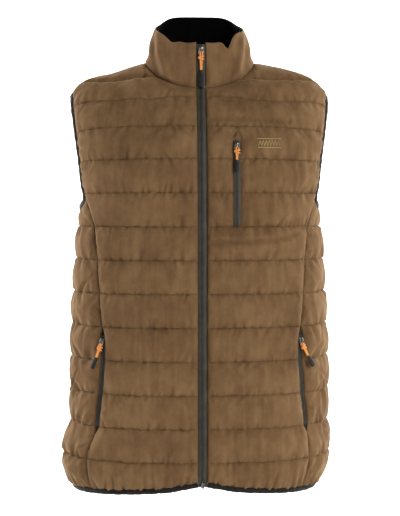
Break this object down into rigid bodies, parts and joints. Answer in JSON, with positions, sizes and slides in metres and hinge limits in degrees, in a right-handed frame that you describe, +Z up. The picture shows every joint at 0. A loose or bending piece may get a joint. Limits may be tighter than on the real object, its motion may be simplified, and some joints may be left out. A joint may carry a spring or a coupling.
{
  "type": "insulated vest",
  "caption": "Sleeveless quilted jacket with a stand collar and a closed front zip, filled out as if worn, hollow and open at neck, hem and armholes.",
  "frame": {"origin": "the point between the shoulders where a wearer carries the vest, level with the shoulder seams beside the neck", "axes": "+Z is up, the front of the vest faces -Y and +X is the wearer's left"},
  "size_m": [0.4334, 0.2674, 0.7811],
  "materials": {
    "shell": "brushed brown polyester shell with a short nap",
    "collar_lining": "soft black lining",
    "binding": "dark elastic binding",
    "zip_tape": "grey-green woven tape with a reversed coil",
    "zip_metal": "nickel-plated zinc",
    "pull_cord": "braided orange cord",
    "pull_grip": "satin black moulded rubber"
  },
  "bodies": {
    "vest": {"front_left": "shell", "front_right": "shell", "side_left": "shell", "side_right": "shell", "back": "shell", "collar": "shell", "collar_lining": "collar_lining", "armhole_binding_left": "binding", "armhole_binding_right": "binding", "hem_binding": "binding", "main_zip": "zip_tape", "main_zip_box": "zip_metal", "chest_zip": "zip_tape", "pocket_zip_left": "zip_tape", "pocket_zip_right": "zip_tape", "main_slider": "zip_metal", "chest_slider": "zip_metal", "pocket_slider_left": "zip_metal", "pocket_slider_right": "zip_metal"},
    "main_pull": {"main_pull_ring": "zip_metal", "main_pull_cord": "pull_cord", "main_pull_tab": "pull_grip"},
    "chest_pull": {"chest_pull_ring": "zip_metal", "chest_pull_cord": "pull_cord", "chest_pull_tab": "pull_grip"},
    "pocket_pull_left": {"pocket_pull_left_ring": "zip_metal", "pocket_pull_left_cord": "pull_cord", "pocket_pull_left_tab": "pull_grip"},
    "pocket_pull_right": {"pocket_pull_right_ring": "zip_metal", "pocket_pull_right_cord": "pull_cord", "pocket_pull_right_tab": "pull_grip"}
  },
  "joints": [
    {"name": "main_pull_swing", "type": "hinge", "parent": "vest", "child": "main_pull", "pos_m": [0, -0.07475, 0.01838], "axis": [-1, 0, 0], "range_deg": [0, 150]},
    {"name": "chest_pull_swing", "type": "hinge", "parent": "vest", "child": "chest_pull", "pos_m": [0.05464, -0.11787, -0.13475], "axis": [-0.9968, -0.0642, 0.0482], "range_deg": [0, 150]},
    {"name": "pocket_pull_left_swing", "type": "hinge", "parent": "vest", "child": "pocket_pull_left", "pos_m": [0.1591, -0.10268, -0.44437], "axis": [-0.8371, -0.5471, -0.0065], "range_deg": [0, 130]},
    {"name": "pocket_pull_right_swing", "type": "hinge", "parent": "vest", "child": "pocket_pull_right", "pos_m": [-0.1591, -0.10268, -0.44437], "axis": [-0.8371, 0.5471, 0.0065], "range_deg": [0, 130]}
  ]
}
